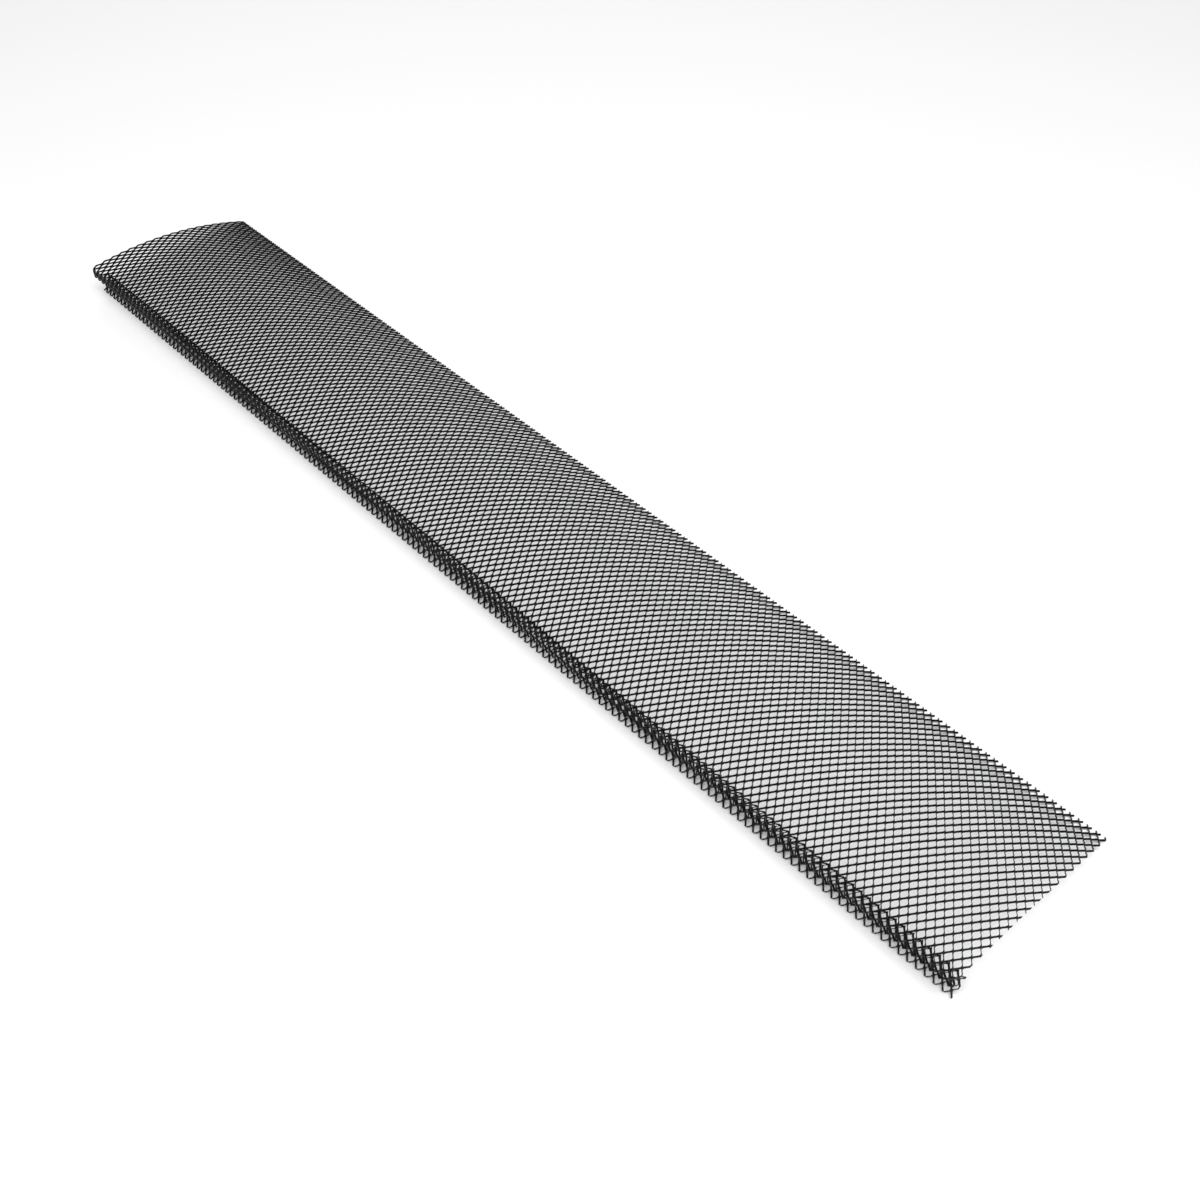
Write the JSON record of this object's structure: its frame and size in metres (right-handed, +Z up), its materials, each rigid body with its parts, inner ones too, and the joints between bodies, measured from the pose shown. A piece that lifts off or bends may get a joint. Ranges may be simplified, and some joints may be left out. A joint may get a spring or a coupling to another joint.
{
  "type": "gutter guard",
  "caption": "Long strip of black expanded-metal diamond mesh, arched across its width, with a folded lock along the front edge that slips over a gutter's lip.",
  "frame": {"origin": "centre of the strip's footprint on the floor that it lies on", "axes": "+X along the strip's length, +Y to the plain rear edge, -Y to the folded front lock, +Z up"},
  "size_m": [0.9144, 0.1504, 0.0279],
  "materials": {
    "black_coated_steel": "satin black coating on galvanised steel"
  },
  "bodies": {
    "root": {"arch_panel_1_bay_1": "black_coated_steel", "arch_panel_1_bay_2": "black_coated_steel", "arch_panel_1_bay_3": "black_coated_steel", "arch_panel_1_bay_4": "black_coated_steel", "arch_panel_1_bay_5": "black_coated_steel", "arch_panel_2_bay_1": "black_coated_steel", "arch_panel_2_bay_2": "black_coated_steel", "arch_panel_2_bay_3": "black_coated_steel", "arch_panel_2_bay_4": "black_coated_steel", "arch_panel_2_bay_5": "black_coated_steel", "arch_panel_3_bay_1": "black_coated_steel", "arch_panel_3_bay_2": "black_coated_steel", "arch_panel_3_bay_3": "black_coated_steel", "arch_panel_3_bay_4": "black_coated_steel", "arch_panel_3_bay_5": "black_coated_steel", "arch_panel_4_bay_1": "black_coated_steel", "arch_panel_4_bay_2": "black_coated_steel", "arch_panel_4_bay_3": "black_coated_steel", "arch_panel_4_bay_4": "black_coated_steel", "arch_panel_4_bay_5": "black_coated_steel", "arch_panel_5_bay_1": "black_coated_steel", "arch_panel_5_bay_2": "black_coated_steel", "arch_panel_5_bay_3": "black_coated_steel", "arch_panel_5_bay_4": "black_coated_steel", "arch_panel_5_bay_5": "black_coated_steel", "arch_panel_6_bay_1": "black_coated_steel", "arch_panel_6_bay_2": "black_coated_steel", "arch_panel_6_bay_3": "black_coated_steel", "arch_panel_6_bay_4": "black_coated_steel", "arch_panel_6_bay_5": "black_coated_steel", "lock_flange_bay_1": "black_coated_steel", "lock_flange_bay_2": "black_coated_steel", "lock_flange_bay_3": "black_coated_steel", "lock_flange_bay_4": "black_coated_steel", "lock_flange_bay_5": "black_coated_steel", "lock_front_bay_1": "black_coated_steel", "lock_front_bay_2": "black_coated_steel", "lock_front_bay_3": "black_coated_steel", "lock_front_bay_4": "black_coated_steel", "lock_front_bay_5": "black_coated_steel", "lock_leg_bay_1": "black_coated_steel", "lock_leg_bay_2": "black_coated_steel", "lock_leg_bay_3": "black_coated_steel", "lock_leg_bay_4": "black_coated_steel", "lock_leg_bay_5": "black_coated_steel"}
  },
  "joints": []
}
